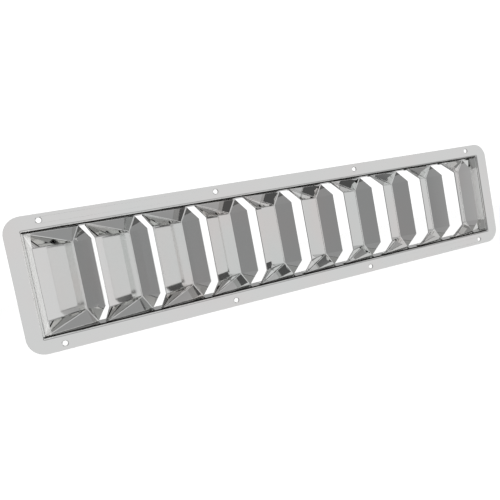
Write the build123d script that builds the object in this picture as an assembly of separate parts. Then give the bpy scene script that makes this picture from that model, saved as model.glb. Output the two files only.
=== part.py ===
from build123d import *
import math
import os

# Louvred air grille of polished stainless sheet, in millimetres.
# +X runs along the face, +Z is up and the front looks towards -Y.
# The origin is the centre of the screw-hole pattern on the back face of the flange,
# the face that seats against the bulkhead, so y = 0 is the mounting plane.

# ---- face frame ----
face_length = 413.0        # flange, end to end
face_height = 92.0         # flange, top to bottom
corner_radius = 12.0       # outer corners of the flange
flange_width = 10.6        # flange edge to the inner face of the turned-in lip
frame_sheet = 1.0          # sheet thickness of the frame
edge_round = 0.3           # polished-off outer edge of the flange
lip_depth = 5.0            # lip, behind the back face of the flange
lip_bend = 1.6             # outside radius of the bend from flange to lip
opening_corner = 0.6       # corners of the opening, inside the lip

# ---- screw holes ----
screw_hole = 3.4           # diameter
hole_break = 0.5           # chamfer on the front rim of each hole
hole_end = 22.6            # flange end to the first hole centre
hole_edge = 4.4            # flange edge to the row of hole centres
holes_per_row = 4

# ---- collar, the short duct behind the frame ----
collar_sheet = 0.8         # sheet thickness of the four strips
collar_depth = 18.0        # rear edge, behind the back face of the flange
collar_setback = 0.2       # front edge of the strips, behind the end of the lip bend

# ---- louvres ----
louvre_count = 10
louvre_sheet = 0.8         # sheet thickness
nose_reach = 6.4           # nose, in front of the flange's front face
nose_inset = 4.5           # nose, from the louvre's own pitch line
valley_back = 10.1         # valley, short of the next pitch line
valley_clear = 4.3         # valley, in front of the collar's rear edge
tail_lap = 1.9             # tail, past the next pitch line
tail_rise = 8.0            # tail, in front of the valley
root_inset = 0.5           # front end of the root, from the pitch line
root_cover = 0.4           # front end of the root, behind the collar's front edge
root_back = 4.5            # rear end of the root, short of the next pitch line
gusset_height = 9.8        # folded end, from the root down to the straight faces
tab_width = 6.0            # welded tab behind each root
tab_margin = 0.3           # tab, in front of the collar's rear edge

# ---- spot welds ----
weld_diameter = 3.0
weld_crown = 0.2           # height of the weld mark over the sheet
weld_gap = 0.3             # clear space between the lip's rear edge and the nearest mark
tab_weld_shares = (0.33, 0.80)   # places of the marks along each louvre tab
frame_welds_per_side = 7   # along the long sides of the lip

# ---- worked out from the sizes above ----
front_y = -frame_sheet
open_x = face_length / 2 - flange_width          # inner face of the lip, end sides
open_z = face_height / 2 - flange_width          # inner face of the lip, long sides
clear_x = open_x - collar_sheet                  # inner face of the end strips
clear_z = open_z - collar_sheet                  # inner face of the long strips
root_z = clear_z - louvre_sheet                  # inner face of the welded tabs
blade_z = root_z - gusset_height                 # end of the straight faces
collar_front = front_y + lip_bend + collar_setback
pitch = 2 * clear_x / louvre_count
hole_spacing = (face_length - 2 * hole_end) / (holes_per_row - 1)
hole_row_z = face_height / 2 - hole_edge
tolerance = 0.001                                # for picking edges by their place

os.makedirs("parts", exist_ok=True)


def save(shape, name):
    export_step(shape, f"parts/{name}.step")


def slab(low, high):
    """A rectangular block between two opposite corners."""
    size = [b - a for a, b in zip(low, high)]
    centre = [(a + b) / 2 for a, b in zip(low, high)]
    return Pos(*centre) * Box(*size)


def plate_outline(half_x, half_z, radius, y_low, y_high):
    """A rounded rectangle in the XZ plane, thick from y_low to y_high."""
    outline = RectangleRounded(2 * half_x, 2 * half_z, radius)
    turned = Plane(origin=(0, y_high, 0), x_dir=(1, 0, 0), z_dir=(0, -1, 0)) * outline
    return extrude(turned, amount=y_high - y_low)


# ---- flange frame: rounded plate with a lip turned in round the opening ----

def flange_frame():
    plate = plate_outline(face_length / 2, face_height / 2, corner_radius, front_y, 0)
    lip = plate_outline(
        open_x + frame_sheet, open_z + frame_sheet, opening_corner + frame_sheet, 0, lip_depth
    )
    frame = plate + lip
    frame -= plate_outline(open_x, open_z, opening_corner, front_y, lip_depth)
    inner_back = [e for e in frame.edges() if on_loop(e, 0, open_x + frame_sheet, open_z + frame_sheet)]
    frame = fillet(inner_back, lip_bend - frame_sheet)
    inner_front = [e for e in frame.edges() if on_loop(e, front_y, open_x, open_z)]
    frame = fillet(inner_front, lip_bend)
    rim = [e for e in frame.edges() if on_loop(e, front_y, face_length / 2, face_height / 2)]
    frame = fillet(rim, edge_round)
    for x, z in hole_places():
        drill = Pos(x, front_y / 2, z) * Rot(90, 0, 0) * Cylinder(screw_hole / 2, 2 * frame_sheet)
        rim_cut = Pos(x, front_y + hole_break / 2, z) * Rot(90, 0, 0) * Cone(
            screw_hole / 2, screw_hole / 2 + hole_break, hole_break
        )
        frame = frame - drill - rim_cut
    return frame


def on_loop(edge, y, half_x, half_z):
    """True for an edge that lies at depth y on the rounded rectangle of these half sizes."""
    box = edge.bounding_box()
    if abs(box.min.Y - y) > tolerance or abs(box.max.Y - y) > tolerance:
        return False
    reach_x = max(abs(box.min.X), abs(box.max.X))
    reach_z = max(abs(box.min.Z), abs(box.max.Z))
    inside = reach_x < half_x + tolerance and reach_z < half_z + tolerance
    touches = abs(reach_x - half_x) < tolerance or abs(reach_z - half_z) < tolerance
    return inside and touches


def hole_places():
    first = -face_length / 2 + hole_end
    return [
        (first + column * hole_spacing, side * hole_row_z)
        for side in (1, -1)
        for column in range(holes_per_row)
    ]


# ---- collar strips: the long ones run over the ends of the short ones ----

def long_strip(side):
    strip = slab(
        (-open_x, collar_front, side * clear_z if side > 0 else -open_z),
        (open_x, collar_depth, open_z if side > 0 else side * clear_z),
    )
    outer = strip.edges().filter_by(Axis.Y).filter_by(
        lambda e: abs(abs(e.center().Z) - open_z) < tolerance
    )
    return fillet(outer, opening_corner)


def end_strip(side):
    low_x = clear_x if side > 0 else -open_x
    high_x = open_x if side > 0 else -clear_x
    return slab((low_x, collar_front, -clear_z), (high_x, collar_depth, clear_z))


# ---- louvres: one folded sheet each, closed at both ends by three gusset faces ----

def unit(x, y):
    length = math.hypot(x, y)
    return x / length, y / length


def offset_corner(before, corner, after, thickness):
    """The corner of a folded line, moved to the back of the sheet it stands for."""
    in_x, in_y = unit(corner[0] - before[0], corner[1] - before[1])
    out_x, out_y = unit(after[0] - corner[0], after[1] - corner[1])
    along_x, along_y = unit(in_x + out_x, in_y + out_y)
    half_turn_cos = in_x * along_x + in_y * along_y
    reach = thickness / half_turn_cos
    return corner[0] - along_y * reach, corner[1] + along_x * reach


def offset_end(corner, neighbour, thickness, side):
    """A free end of a folded line, moved square to the line to the back of the sheet."""
    along_x, along_y = unit(neighbour[0] - corner[0], neighbour[1] - corner[1])
    return corner[0] - side * along_y * thickness, corner[1] + side * along_x * thickness


def louvre_profile(number):
    """Places of the folds in plan (x along the face, y depth), front and back of the sheet."""
    is_first = number == 1
    is_last = number == louvre_count
    start = -clear_x + (number - 1) * pitch
    nose = (start + nose_inset, front_y - nose_reach)
    valley = (start + pitch - valley_back, collar_depth - valley_clear)
    tail = (start + pitch + tail_lap, valley[1] - tail_rise)
    if is_last:
        slope = tail_rise / (valley_back + tail_lap)
        end_x = clear_x - louvre_sheet
        tail = (end_x, valley[1] - slope * (end_x - valley[0]))
    root_front = (start + root_inset, collar_front + root_cover)
    if is_first:
        root_front = (start + louvre_sheet, root_front[1])
    root_rear = (start + pitch - root_back, collar_depth - tab_margin - tab_width)

    slant_x, slant_y = unit(root_rear[0] - root_front[0], root_rear[1] - root_front[1])
    root_step = louvre_sheet / slant_x
    if is_first:
        nose_behind = offset_corner(root_front, nose, valley, louvre_sheet)
    else:
        nose_behind = offset_end(nose, valley, louvre_sheet, 1)
    front = {"root_front": root_front, "nose": nose, "valley": valley,
             "tail": tail, "root_rear": root_rear}
    back = {"root_front": (root_front[0], root_front[1] + root_step),
            "nose": nose_behind,
            "valley": offset_corner(nose, valley, tail, louvre_sheet),
            "tail": offset_end(tail, valley, louvre_sheet, -1),
            "root_rear": (root_rear[0], root_rear[1] + root_step)}
    if is_last:
        back["tail"] = (tail[0], tail[1] + louvre_sheet / unit(valley_back + tail_lap, tail_rise)[0])
    return front, back


def folded_sheet(front, back, closed_nose):
    """A closed solid between the front and back surfaces of one folded louvre."""
    def corner(skin, name, side):
        x, y = skin[name]
        z = root_z if name.startswith("root") else blade_z
        return Vector(x, y, side * z)

    faces = [
        [("nose", 1), ("nose", -1), ("valley", -1), ("valley", 1)],
        [("valley", 1), ("valley", -1), ("tail", -1), ("tail", 1)],
    ]
    for side in (1, -1):
        faces.append([("root_front", side), ("nose", side), ("valley", side)])
        faces.append([("root_front", side), ("valley", side), ("root_rear", side)])
        faces.append([("root_rear", side), ("valley", side), ("tail", side)])
    rim = [("nose", 1), ("nose", -1), ("root_front", -1), ("root_rear", -1), ("tail", -1),
           ("tail", 1), ("root_rear", 1), ("root_front", 1)]
    if closed_nose:
        faces.append([("root_front", 1), ("root_front", -1), ("nose", -1), ("nose", 1)])
        rim = rim[2:]

    skins = []
    for outline in faces:
        for skin in (front, back):
            skins.append(polygon_face([corner(skin, *point) for point in outline]))
    for start, end in zip(rim, rim[1:] + rim[:1]):
        front_start, front_end = corner(front, *start), corner(front, *end)
        back_start, back_end = corner(back, *start), corner(back, *end)
        skins.append(polygon_face([front_start, front_end, back_end]))
        skins.append(polygon_face([front_start, back_end, back_start]))
    return Solid(Shell(skins)).fix()


def polygon_face(points):
    return Face(Wire.make_polygon(points, close=True))


def root_tab(front, side):
    """The tab behind the root, flat against the long collar strip."""
    (x1, y1), (x2, y2) = front["root_front"], front["root_rear"]
    outline = Polygon(
        (x1, y1), (x2, y2), (x2, y2 + tab_width), (x1, y1 + tab_width), align=None
    )
    tab = extrude(outline, amount=louvre_sheet)
    base = root_z if side > 0 else -clear_z
    return Pos(0, 0, base) * tab


def louvre(number):
    front, back = louvre_profile(number)
    body = folded_sheet(front, back, closed_nose=number == 1)
    pieces = [root_tab(front, 1), root_tab(front, -1)]
    if number == 1:
        x, y = front["root_front"]
        pieces.append(slab((-clear_x, y, -clear_z), (x, y + tab_width, clear_z)))
    if number == louvre_count:
        x, y = front["tail"]
        pieces.append(slab((x, y, -blade_z), (clear_x, y + tab_width, blade_z)))
    for piece in pieces:
        body = body + piece
    return body


# ---- spot welds: low round marks on the outside of the sheets they join ----

def weld_mark(x, y, z, side):
    mark = Cylinder(weld_diameter / 2, weld_crown)
    return Pos(x, y, side * (z + weld_crown / 2)) * mark


def louvre_welds():
    """Two marks on the collar over each louvre tab, behind the lip."""
    marks = []
    for number in range(1, louvre_count + 1):
        front, _ = louvre_profile(number)
        (x1, y1), (x2, y2) = front["root_front"], front["root_rear"]
        for share in tab_weld_shares:
            x = x1 + share * (x2 - x1)
            tab_middle = y1 + share * (y2 - y1) + tab_width / 2
            y = max(tab_middle, lip_depth + weld_gap + weld_diameter / 2)
            marks += [weld_mark(x, y, open_z, side) for side in (1, -1)]
    return Compound(children=marks)


def frame_welds():
    """A row of marks on the lip where it laps over the long collar strips."""
    outer_z = open_z + frame_sheet
    span = 2 * (open_x - hole_end)
    step = span / (frame_welds_per_side - 1)
    y = (lip_bend - frame_sheet + lip_depth) / 2
    marks = [
        weld_mark(-span / 2 + place * step, y, outer_z, side)
        for place in range(frame_welds_per_side)
        for side in (1, -1)
    ]
    return Compound(children=marks)


save(flange_frame(), "flange_frame")
save(long_strip(1), "collar_top")
save(long_strip(-1), "collar_bottom")
save(end_strip(-1), "collar_left")
save(end_strip(1), "collar_right")
for index in range(1, louvre_count + 1):
    save(louvre(index), f"louvre_{index:02d}")
save(louvre_welds(), "louvre_spot_welds")
save(frame_welds(), "frame_spot_welds")
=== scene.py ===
import math

import bmesh
import bpy
from mathutils import Matrix, Vector
from mathutils.geometry import delaunay_2d_cdt


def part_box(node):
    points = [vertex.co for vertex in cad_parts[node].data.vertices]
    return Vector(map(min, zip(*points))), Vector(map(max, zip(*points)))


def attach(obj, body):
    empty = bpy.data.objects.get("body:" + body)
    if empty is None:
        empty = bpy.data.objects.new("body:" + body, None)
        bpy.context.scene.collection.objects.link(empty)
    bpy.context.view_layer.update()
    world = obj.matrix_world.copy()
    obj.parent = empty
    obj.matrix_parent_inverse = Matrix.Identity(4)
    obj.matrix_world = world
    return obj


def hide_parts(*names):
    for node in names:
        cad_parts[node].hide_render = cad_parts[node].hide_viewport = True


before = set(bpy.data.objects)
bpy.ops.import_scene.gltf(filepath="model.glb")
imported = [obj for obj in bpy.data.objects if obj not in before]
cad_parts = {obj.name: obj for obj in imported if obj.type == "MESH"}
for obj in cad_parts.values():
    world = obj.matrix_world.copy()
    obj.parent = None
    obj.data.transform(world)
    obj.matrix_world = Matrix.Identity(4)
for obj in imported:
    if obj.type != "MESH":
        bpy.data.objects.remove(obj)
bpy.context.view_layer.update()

# Looks of a louvred air grille of mirror-polished sheet. Metres, in the frame of the CAD model:
# +X along the face, +Z up, the front towards -Y, y = 0 on the back face of the flange.

# ---- sizes that the folded sheets are drawn from ----
frame_low, frame_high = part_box("flange_frame")
left_low, left_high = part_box("collar_left")
right_low, right_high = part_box("collar_right")
top_low, top_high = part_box("collar_top")

face_half_x = frame_high.x
face_half_z = frame_high.z
front_y = frame_low.y
open_x = right_high.x              # inner face of the lip, end sides
open_z = top_high.z                # inner face of the lip, long sides
clear_x = right_low.x              # inner face of the end strips
clear_z = top_low.z                # inner face of the long strips
collar_front = top_low.y
collar_depth = top_high.y
lip_depth = frame_high.y

frame_sheet = 0.0010
louvre_sheet = 0.0008
corner_radius = 0.012
opening_corner = 0.0006
lip_bend = 0.0016
flange_fall = 0.020                # slope of each side of the flange towards its outer edge
hole_radius = 0.0017
hole_break = 0.0005                # countersunk front rim of each hole
hole_end = 0.0226                  # hole centre from the end of the face
hole_edge = 0.0044                 # hole centre from the long edge
holes_per_row = 4

louvre_count = 10
nose_reach = 0.0064                # nose in front of the flange
nose_inset = 0.0045                # nose past the start of its pitch
valley_back = 0.0101               # valley short of the next pitch
valley_clear = 0.0043              # valley in front of the collar's rear edge
tail_lap = 0.0019                  # tail past the next pitch
tail_rise = 0.0080                 # tail in front of the valley
root_inset = 0.0005
root_cover = 0.0004                # root behind the collar's front edge
root_back = 0.0045                 # rear root short of the next pitch
gusset_height = 0.0098
tab_width = 0.0060
tab_margin = 0.0003
fold_radius = 0.0006
rim_round = 0.00014
strip_round = 0.0001

# painted reflection: pale base colour put where the polished sheet shows a pale reflection
painted_reflection_tone = (0.86, 0.86, 0.85, 1)

pitch = 2 * clear_x / louvre_count
root_z = clear_z - louvre_sheet
blade_z = root_z - gusset_height


# ---- shader arithmetic ----

class Socket:
    """An output of a node that can stand in plain arithmetic."""

    def __init__(self, shader, out):
        self.shader = shader
        self.out = out

    def _math(self, operation, first, second):
        return self.shader.node("ShaderNodeMath", {"operation": operation}, {0: first, 1: second})

    def __add__(self, other):
        return self._math("ADD", self, other)

    def __radd__(self, other):
        return self._math("ADD", other, self)

    def __sub__(self, other):
        return self._math("SUBTRACT", self, other)

    def __rsub__(self, other):
        return self._math("SUBTRACT", other, self)

    def __mul__(self, other):
        return self._math("MULTIPLY", self, other)

    def __rmul__(self, other):
        return self._math("MULTIPLY", other, self)

    def __pow__(self, other):
        return self._math("POWER", self, other)


class Shader:
    """The node tree of one material or of the world."""

    def __init__(self, tree, output_kind="ShaderNodeOutputMaterial"):
        self.tree = tree
        self.output_kind = output_kind
        tree.nodes.clear()

    def node(self, kind, settings=None, inputs=None, output=0):
        made = self.tree.nodes.new(kind)
        for name, value in (settings or {}).items():
            if name == "stops":
                self._set_stops(made.color_ramp, value)
            elif name == "interpolation" and kind == "ShaderNodeValToRGB":
                made.color_ramp.interpolation = value
            else:
                setattr(made, name, value)
        for name, value in (inputs or {}).items():
            self._feed(made.inputs[name], value)
        return Socket(self, made.outputs[output])

    def _feed(self, socket, value):
        if isinstance(value, Socket):
            self.tree.links.new(value.out, socket)
        else:
            socket.default_value = value

    def _set_stops(self, ramp, stops):
        while len(ramp.elements) > 1:
            ramp.elements.remove(ramp.elements[-1])
        for index, (place, colour) in enumerate(stops):
            stop = ramp.elements[0] if index == 0 else ramp.elements.new(place)
            stop.position = place
            stop.color = (*colour, 1)

    def finish(self, surface):
        end = self.tree.nodes.new(self.output_kind)
        self.tree.links.new(surface.out, end.inputs["Surface"])

    # short names for the patterns that the finishes share
    def place(self):
        return self.node("ShaderNodeTexCoord", output="Object")

    def stretched(self, scale, turn=(0, 0, 0)):
        return self.node("ShaderNodeMapping", inputs={"Vector": self.place(), "Scale": scale,
                                                       "Rotation": turn})

    def noise(self, vector, scale, detail=2.0, roughness=0.5):
        return self.node("ShaderNodeTexNoise", inputs={
            "Vector": vector, "Scale": scale, "Detail": detail, "Roughness": roughness})

    def ramp(self, factor, *stops, steps="LINEAR"):
        return self.node("ShaderNodeValToRGB", {"interpolation": steps, "stops": [
            (place, shade if isinstance(shade, tuple) else (shade,) * 3) for place, shade in stops
        ]}, {"Fac": factor})

    def mix(self, factor, first, second):
        return self.node("ShaderNodeMix", {"data_type": "RGBA"},
                         {0: factor, 6: first, 7: second}, output=2)


def new_material(name):
    material = bpy.data.materials.new(name)
    material.use_nodes = True
    return material, Shader(material.node_tree)


# ---- finishes ----

def closing_face(s, across, upward):
    """One on the face that closes louvre 1 to the left wall: the part that gets the painted pale
    reflection.
    """
    return s.node("ShaderNodeMath", {"operation": "LESS_THAN"},
                  {0: across, 1: -clear_x + nose_inset - 0.0002})


def within(s, value, limit):
    """One where a coordinate is no further than the limit from the middle, either way."""
    size = s.node("ShaderNodeMath", {"operation": "ABSOLUTE"}, {0: value})
    return s.node("ShaderNodeMath", {"operation": "LESS_THAN"}, {0: size, 1: limit})


def end_wall_middle(s, across, upward):
    """One on the inner face of an end wall, except near its top and bottom: the part that gets the
    painted pale reflection.
    """
    return within(s, upward, blade_z + 0.0005) * within(s, across, clear_x + 0.0002)


def rubbed_blades(s, across, upward):
    """Roughness that the long faces of the louvres gain towards the left end."""
    towards_left = s.ramp(across * (0.5 / clear_x) + 0.5, (0.25, 0.07), (0.5, 0.0))
    return towards_left * within(s, upward, blade_z)


def polished_steel(name, bright, warm, cool, wave, haze, scratch, painted_reflection_part=None,
                   rubbed_part=None):
    """Mirror-polished stainless sheet: a faint warm and cool tint, wiping haze and fine hairlines.
    A part of it can carry a painted pale reflection, with less metal and more roughness, or be rubbed
    less bright.
    """
    material, s = new_material(name)
    place = s.place()
    tint = s.ramp(s.noise(place, 22, 1.5), (0.35, warm), (0.5, bright), (0.68, cool))
    wipes = s.ramp(s.noise(s.stretched((9, 30, 60), (0.2, 0.1, 0.5)), 1.0, 4, 0.6),
                   (0.42, 0.0), (0.75, 1.0))
    hairlines = s.ramp(s.noise(s.stretched((40, 40, 2200), (0.0, 0.35, 0.0)), 1.0, 2, 0.7),
                       (0.60, 0.0), (0.74, 1.0))
    rough = 0.012 + wipes * haze + hairlines * scratch
    waves = s.noise(place, 34, 1.0)
    across, upward = (s.node("ShaderNodeSeparateXYZ", inputs={0: place}, output=i) for i in (0, 2))
    if rubbed_part:
        rough = rough + rubbed_part(s, across, upward)
    sheet_waves = s.node("ShaderNodeBump", inputs={
        "Strength": 1.0, "Distance": wave, "Height": waves})
    fine = s.node("ShaderNodeBump", inputs={
        "Strength": 0.1, "Distance": 0.00001, "Height": hairlines, "Normal": sheet_waves})
    colour, metal = tint, 1.0
    # painted reflection: the masked part gets a pale base colour, less metal and more roughness,
    # standing in for the pale reflection there
    if painted_reflection_part:
        painted_reflection = painted_reflection_part(s, across, upward)
        colour = s.mix(painted_reflection, tint, painted_reflection_tone)
        metal = 1 - painted_reflection * 0.75
        rough = rough + painted_reflection * 0.35
    s.finish(s.node("ShaderNodeBsdfPrincipled", inputs={
        "Base Color": colour, "Metallic": metal, "Roughness": rough, "Normal": fine}))
    return material


def shade_painted_steel(name):
    """Long collar strip: painted shade, dark on its front edge and at a shallow angle, for the shadow
    line between flange lip and louvres; pale face-on, a painted reflection.
    """
    material, s = new_material(name)
    grain = s.noise(s.stretched((6, 900, 900)), 1.0, 3, 0.6)
    blotch = s.noise(s.place(), 45, 3)
    # painted reflection: pale where the strip is seen face-on, so polished faces that reflect it stay
    # light
    steep = s.ramp(blotch, (0.3, (0.82, 0.82, 0.80)), (0.7, (0.90, 0.90, 0.88)))
    # painted shade: near black, at a shallow angle and on the front edge
    flat = s.ramp(blotch, (0.3, (0.010, 0.010, 0.009)), (0.7, (0.022, 0.022, 0.020)))
    facing = s.node("ShaderNodeLayerWeight", inputs={"Blend": 0.5}, output="Facing")
    depth = s.node("ShaderNodeSeparateXYZ", inputs={0: s.place()}, output=1)
    behind_edge = s.node("ShaderNodeMath", {"operation": "GREATER_THAN"},
                         {0: depth, 1: collar_front + root_cover})
    colour = s.mix(s.ramp(facing, (0.55, 0.0), (0.80, 1.0)), steep, flat)
    # painted shadow: the band in front of the louvre roots is near black, standing in for the shadow
    # line under the flange lip
    colour = s.mix(behind_edge, flat, colour)
    bump = s.node("ShaderNodeBump", inputs={"Strength": 0.2, "Distance": 0.00001, "Height": grain})
    s.finish(s.node("ShaderNodeBsdfPrincipled", inputs={
        "Base Color": colour, "Metallic": 1.0, "Roughness": 0.05 + grain * 0.08, "Normal": bump}))
    return material


def weld_steel(name):
    """Spot-weld mark: pitted dull metal with straw and blue heat tint."""
    material, s = new_material(name)
    place = s.place()
    heat = s.ramp(s.noise(place, 320, 2), (0.3, (0.42, 0.36, 0.27)), (0.5, (0.34, 0.30, 0.30)),
                  (0.7, (0.22, 0.25, 0.34)))
    pits = s.noise(place, 2600, 3)
    bump = s.node("ShaderNodeBump", inputs={"Strength": 0.6, "Distance": 0.00005, "Height": pits})
    s.finish(s.node("ShaderNodeBsdfPrincipled", inputs={
        "Base Color": heat, "Metallic": 1.0, "Roughness": 0.4 + pits * 0.25, "Normal": bump}))
    return material


# louvres: a painted pale reflection on the face that closes louvre 1
louvre_steel = polished_steel("louvre_steel", (0.92, 0.92, 0.915), (0.93, 0.912, 0.905),
                              (0.908, 0.92, 0.915), 0.00004, 0.02, 0.008,
                              painted_reflection_part=closing_face, rubbed_part=rubbed_blades)
frame_steel = polished_steel("frame_steel", (0.92, 0.92, 0.915), (0.93, 0.912, 0.905),
                             (0.908, 0.92, 0.915), 0.00004, 0.02, 0.01)
# end strips: a painted pale reflection in the middle of their inner face
collar_steel = polished_steel("collar_steel", (0.90, 0.91, 0.90), (0.91, 0.905, 0.89),
                              (0.90, 0.915, 0.905), 0.00006, 0.03, 0.01, painted_reflection_part=end_wall_middle)
# long collar strips: painted shade with a painted reflection
wall_steel = shade_painted_steel("wall_steel")
weld_metal = weld_steel("weld_metal")


# ---- meshes of folded sheet ----

def sheet_object(name, points, faces, thickness, fold, material):
    """A thin folded sheet, drawn by its front skin and thickened towards the back."""
    mesh = bpy.data.meshes.new(name)
    mesh.from_pydata([tuple(p) for p in points], [], faces)
    mesh.materials.append(material)
    mesh.update()
    piece = bpy.data.objects.new(name, mesh)
    bpy.context.scene.collection.objects.link(piece)
    if fold:
        bends = piece.modifiers.new("folds", "BEVEL")
        bends.width = fold
        bends.segments = 6
        bends.limit_method = "ANGLE"
        bends.angle_limit = math.radians(12)
        bends.miter_outer = "MITER_ARC"
    thick = piece.modifiers.new("sheet", "SOLIDIFY")
    thick.thickness = thickness
    thick.offset = -1
    thick.use_even_offset = True
    rim = piece.modifiers.new("rims", "BEVEL")
    rim.width = rim_round
    rim.segments = 2
    rim.limit_method = "ANGLE"
    rim.angle_limit = math.radians(50)
    return piece


def louvre(number):
    """One louvre: long leg, short leg and three gusset faces and a welded tab at each end."""
    is_first = number == 1
    is_last = number == louvre_count
    start = -clear_x + (number - 1) * pitch
    valley_y = collar_depth - valley_clear
    places = {
        "nose": (start + nose_inset, front_y - nose_reach),
        "valley": (start + pitch - valley_back, valley_y),
        "tail": (start + pitch + tail_lap, valley_y - tail_rise),
        "root_front": (start + (0 if is_first else root_inset), collar_front + root_cover),
        "root_rear": (start + pitch - root_back, collar_depth - tab_margin - tab_width),
    }
    if is_last:
        slope = tail_rise / (valley_back + tail_lap)
        places["tail"] = (clear_x, valley_y - slope * (clear_x - places["valley"][0]))
    for root in ("root_front", "root_rear"):
        x, y = places[root]
        places[root.replace("root", "tab")] = (x, y + tab_width)
    if is_last:
        places["tail_tab"] = (places["tail"][0], places["tail"][1] + tab_width)

    points = []
    index = {}
    for name, (x, y) in places.items():
        for side in (1, -1):
            z = clear_z if name.startswith(("root", "tab")) else blade_z
            index[name, side] = len(points)
            points.append(Vector((x, y, side * z)))

    faces = [
        [("nose", 1), ("nose", -1), ("valley", -1), ("valley", 1)],
        [("valley", 1), ("valley", -1), ("tail", -1), ("tail", 1)],
    ]
    for side in (1, -1):
        end = [
            [("root_front", side), ("nose", side), ("valley", side)],
            [("root_front", side), ("valley", side), ("root_rear", side)],
            [("root_rear", side), ("valley", side), ("tail", side)],
            [("root_front", side), ("root_rear", side), ("tab_rear", side), ("tab_front", side)],
        ]
        faces += end if side > 0 else [face[::-1] for face in end]
    if is_first:
        faces.append([("root_front", 1), ("root_front", -1), ("nose", -1), ("nose", 1)])
        faces.append([("root_front", -1), ("root_front", 1), ("tab_front", 1), ("tab_front", -1)])
    if is_last:
        faces.append([("tail", 1), ("tail", -1), ("tail_tab", -1), ("tail_tab", 1)])
    drawn = [[index[point] for point in face] for face in faces]
    name = f"louvre_sheet_{number:02d}"
    piece = sheet_object(name, points, drawn, louvre_sheet, fold_radius, louvre_steel)
    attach(piece, "root")
    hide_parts(f"louvre_{number:02d}")
    return piece


# ---- the face frame ----

corner_steps = 10
hole_steps = 32
bend_steps = 6


def rounded_loop(half_x, half_z, radius, steps=corner_steps):
    """Points round a rounded rectangle, anticlockwise from the right, as many at each corner."""
    loop = []
    for corner, (sx, sz) in enumerate(((1, 1), (-1, 1), (-1, -1), (1, -1))):
        for step in range(steps + 1):
            turn = math.radians(90) * (corner + step / steps)
            loop.append(Vector((
                sx * (half_x - radius) + radius * math.cos(turn),
                sz * (half_z - radius) + radius * math.sin(turn),
            )))
    return loop


def hole_places():
    spacing = (2 * face_half_x - 2 * hole_end) / (holes_per_row - 1)
    first = -face_half_x + hole_end
    return [
        Vector((first + column * spacing, side * (face_half_z - hole_edge)))
        for side in (1, -1) for column in range(holes_per_row)
    ]


def inside_loop(p, loop):
    """True when the point lies inside the closed loop."""
    inside = False
    for a, b in zip(loop, loop[1:] + loop[:1]):
        if (a.y > p.y) != (b.y > p.y):
            if p.x < a.x + (p.y - a.y) * (b.x - a.x) / (b.y - a.y):
                inside = not inside
    return inside


def plate_side(mesh, hole_size, depth_at, creased):
    """One flat side of the flange; gives its outer loop, its inner loop and the hole loops."""
    flat = (open_x + lip_bend, open_z + lip_bend)
    outlines = [
        rounded_loop(face_half_x, face_half_z, corner_radius),
        rounded_loop(*flat, opening_corner + lip_bend),
    ]
    for centre in hole_places():
        outlines.append([
            centre + hole_size * Vector((math.cos(turn), math.sin(turn)))
            for turn in (2 * math.pi * i / hole_steps for i in range(hole_steps))
        ])
    points = []
    borders = []
    starts = []
    for outline in outlines:
        first = len(points)
        starts.append(first)
        points += outline
        borders += [(first + i, first + (i + 1) % len(outline)) for i in range(len(outline))]
    if creased:
        for side_x in (1, -1):
            for side_z in (1, -1):
                first = len(points)
                points += [Vector((side_x * flat[0], side_z * flat[1])),
                           Vector((side_x * face_half_x, side_z * flat[1])),
                           Vector((side_x * flat[0], side_z * face_half_z))]
                borders += [(first, first + 1), (first, first + 2)]

    found, _, triangles, origins, *_ = delaunay_2d_cdt(points, borders, [], 0, 1e-8)
    verts = [mesh.verts.new((p.x, depth_at(p), p.y)) for p in found]
    for triangle in triangles:
        middle = sum((found[i] for i in triangle), Vector((0, 0))) / len(triangle)
        in_hole = any((middle - centre).length < hole_size for centre in hole_places())
        if inside_loop(middle, outlines[0]) and not inside_loop(middle, outlines[1]) and not in_hole:
            mesh.faces.new([verts[i] for i in triangle])
    drawn = {origin: verts[i] for i, sources in enumerate(origins) for origin in sources}
    return [
        [drawn[first + i] for i in range(len(outline))]
        for first, outline in zip(starts, outlines)
    ]


def bridge(mesh, first, second):
    """A band of faces between two loops with the same number of points."""
    for i in range(len(first)):
        j = (i + 1) % len(first)
        band = mesh.faces.new([first[i], first[j], second[j], second[i]])
        band.smooth = True


def lip_ring(mesh, inset, depth):
    """A loop round the opening: inset is counted from the start of the front bend."""
    loop = rounded_loop(open_x + lip_bend - inset, open_z + lip_bend - inset,
                        opening_corner + lip_bend - inset)
    return [mesh.verts.new((p.x, depth, p.y)) for p in loop]


def fallen_front(p):
    """Depth of the front: each side of the flange falls slightly towards its outer edge."""
    beyond_x = max(0, abs(p.x) - open_x - lip_bend)
    beyond_z = max(0, abs(p.y) - open_z - lip_bend)
    return front_y + flange_fall * (beyond_x + beyond_z)


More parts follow.
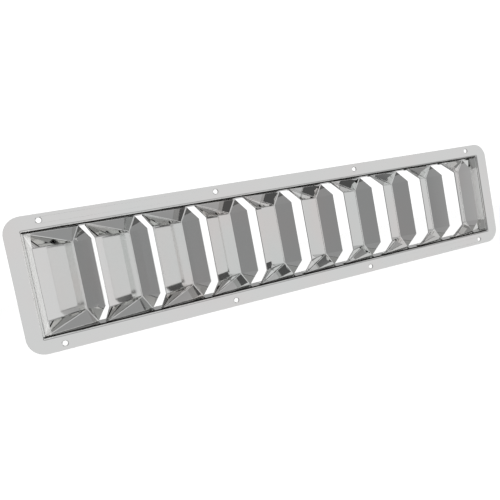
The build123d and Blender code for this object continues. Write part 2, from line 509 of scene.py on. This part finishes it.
def face_frame():
    """Flange with countersunk holes, bend and lip, as one closed piece of bent sheet."""
    mesh = bmesh.new()
    front = plate_side(mesh, hole_radius + hole_break, fallen_front, creased=True)
    back = plate_side(mesh, hole_radius, lambda p: 0.0, creased=False)
    bridge(mesh, front[0], back[0])
    for front_rim, back_rim in zip(front[2:], back[2:]):
        throat = [mesh.verts.new(v.co.lerp(other.co, hole_break / frame_sheet))
                  for v, other in zip(front_rim, back_rim)]
        for vert, other in zip(throat, back_rim):
            vert.co.x, vert.co.z = other.co.x, other.co.z
        bridge(mesh, front_rim, throat)
        bridge(mesh, throat, back_rim)
    ring = front[1]
    for step in range(1, bend_steps + 1):
        turn = math.radians(90) * step / bend_steps
        after = lip_ring(mesh, lip_bend * math.sin(turn), front_y + lip_bend * (1 - math.cos(turn)))
        bridge(mesh, ring, after)
        ring = after
    inner_bend = lip_bend - frame_sheet
    for inset, depth in ((lip_bend, lip_depth), (inner_bend, lip_depth), (inner_bend, inner_bend)):
        after = lip_ring(mesh, inset, depth)
        bridge(mesh, ring, after)
        ring = after
    for step in range(1, bend_steps):
        turn = math.radians(90) * step / bend_steps
        after = lip_ring(mesh, inner_bend * math.cos(turn), inner_bend * (1 - math.sin(turn)))
        bridge(mesh, ring, after)
        ring = after
    bridge(mesh, ring, back[1])
    bmesh.ops.delete(mesh, geom=[v for v in mesh.verts if not v.link_faces], context="VERTS")
    bmesh.ops.recalc_face_normals(mesh, faces=mesh.faces)
    data = bpy.data.meshes.new("face_frame")
    mesh.to_mesh(data)
    mesh.free()
    data.materials.append(frame_steel)
    piece = bpy.data.objects.new("face_frame", data)
    bpy.context.scene.collection.objects.link(piece)
    rim = piece.modifiers.new("rims", "BEVEL")
    rim.width = rim_round
    rim.segments = 2
    rim.limit_method = "ANGLE"
    rim.angle_limit = math.radians(40)
    rim.harden_normals = True
    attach(piece, "root")
    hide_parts("flange_frame")
    return piece


face_frame()
for number in range(1, louvre_count + 1):
    louvre(number)

for node in ("collar_top", "collar_bottom", "collar_left", "collar_right"):
    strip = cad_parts[node]
    strip.data.materials.clear()
    is_long = node in ("collar_top", "collar_bottom")
    # long strips take the painted-shade material; end strips the polished one with a painted pale
    # reflection in the middle
    strip.data.materials.append(wall_steel if is_long else collar_steel)
    soft = strip.modifiers.new("edges", "BEVEL")
    soft.width = strip_round
    soft.segments = 2
for node in ("louvre_spot_welds", "frame_spot_welds"):
    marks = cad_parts[node]
    marks.data.materials.clear()
    marks.data.materials.append(weld_metal)


# ---- studio ----

def floor():
    material, s = new_material("pale_floor")
    speckle = s.noise(s.place(), 60, 3)
    colour = s.ramp(speckle, (0.3, (0.93, 0.93, 0.93)), (0.7, (0.96, 0.96, 0.955)))
    s.finish(s.node("ShaderNodeBsdfPrincipled", inputs={
        "Base Color": colour, "Roughness": 0.9}))
    size = 4.0
    level = -0.32
    mesh = bpy.data.meshes.new("floor")
    mesh.from_pydata([(-size, -size, level), (size, -size, level), (size, size, level),
                      (-size, size, level)], [], [(0, 1, 2, 3)])
    mesh.materials.append(material)
    plane = bpy.data.objects.new("floor", mesh)
    bpy.context.scene.collection.objects.link(plane)
    plane.visible_glossy = False


def sky():
    """White studio all round. Polished metal sees it as soft neutral zones: light ahead and overhead,
    a grey side on the left, and darker bands above and below the level.
    """
    world = bpy.data.worlds.new("studio")
    bpy.context.scene.world = world
    world.use_nodes = True
    s = Shader(world.node_tree, "ShaderNodeOutputWorld")
    direction = s.node("ShaderNodeTexCoord", output="Generated")
    x, y, z = (s.node("ShaderNodeSeparateXYZ", inputs={0: direction}, output=i) for i in range(3))
    turn = s.node("ShaderNodeMath", {"operation": "ARCTAN2"}, {0: x, 1: y * -1.0}) * (180 / math.pi)
    rise = s.node("ShaderNodeMath", {"operation": "ARCSINE"}, {0: z}) * (180 / math.pi)

    def by_turn(*stops):
        """Shades by the angle to the right of straight ahead, in degrees."""
        return s.ramp((turn + 180) * (1 / 360), *[((angle + 180) / 360, c) for angle, c in stops])

    def by_rise(*stops):
        """Shades by the angle above the level, in degrees."""
        return s.ramp((rise + 90) * (1 / 180), *[((angle + 90) / 180, c) for angle, c in stops])

    light, grey, dim, dark = 0.67, 0.26, 0.30, 0.08
    level = by_turn((-110, light), (-80, grey), (-25, grey), (-12, light))
    bands = by_rise((-30, 1.0), (-16, 0.0), (12, 0.0), (26, 1.0))
    front = s.mix(bands, level, (dim, dim, dim, 1))
    overhead = by_rise((-60, 1.0), (-42, 0.0), (42, 0.0), (60, 1.0))
    front = s.mix(overhead, front, (light, light, light, 1))
    rear = by_rise((-55, light), (-42, dark), (-20, dark), (-10, light), (10, light), (20, dark),
                   (42, dark), (55, light))
    behind = by_turn((-110, 1.0), (-90, 0.0), (90, 0.0), (110, 1.0))
    mirrored = s.node("ShaderNodeBackground", inputs={
        "Color": s.mix(behind, front, rear), "Strength": 1.0})
    plain = s.node("ShaderNodeBackground", inputs={"Color": (1, 1, 1, 1), "Strength": 1.1})
    in_mirror = s.node("ShaderNodeLightPath", output="Is Glossy Ray")
    s.finish(s.node("ShaderNodeMixShader", inputs={0: in_mirror, 1: plain, 2: mirrored}))


def soft_light(name, place, target, size, power):
    data = bpy.data.lights.new(name, "AREA")
    data.shape = "RECTANGLE"
    data.size, data.size_y = size
    data.energy = power
    lamp = bpy.data.objects.new(name, data)
    bpy.context.scene.collection.objects.link(lamp)
    lamp.location = place
    lamp.rotation_mode = "QUATERNION"
    lamp.rotation_quaternion = (Vector(target) - Vector(place)).to_track_quat("-Z", "Y")
    lamp.visible_camera = False
    lamp.visible_glossy = False


def camera():
    data = bpy.data.cameras.new("camera")
    data.sensor_width = 36.0
    data.lens = 32.79
    data.clip_start = 0.01
    lens = bpy.data.objects.new("camera", data)
    bpy.context.scene.collection.objects.link(lens)
    turn = Matrix.Rotation(math.radians(-19.80), 4, "Z")
    tilt = Matrix.Rotation(math.radians(90 - 3.71), 4, "X")
    roll = Matrix.Rotation(math.radians(-10.73), 4, "Z")
    lens.matrix_world = Matrix.Translation((-0.16095, -0.32827, 0.01606)) @ turn @ tilt @ roll
    bpy.context.scene.camera = lens


sky()
floor()
soft_light("top_light", (0.2, -0.4, 1.6), (0, 0, 0), (1.0, 1.0), 6)
camera()
bpy.context.scene.view_settings.view_transform = "Standard"
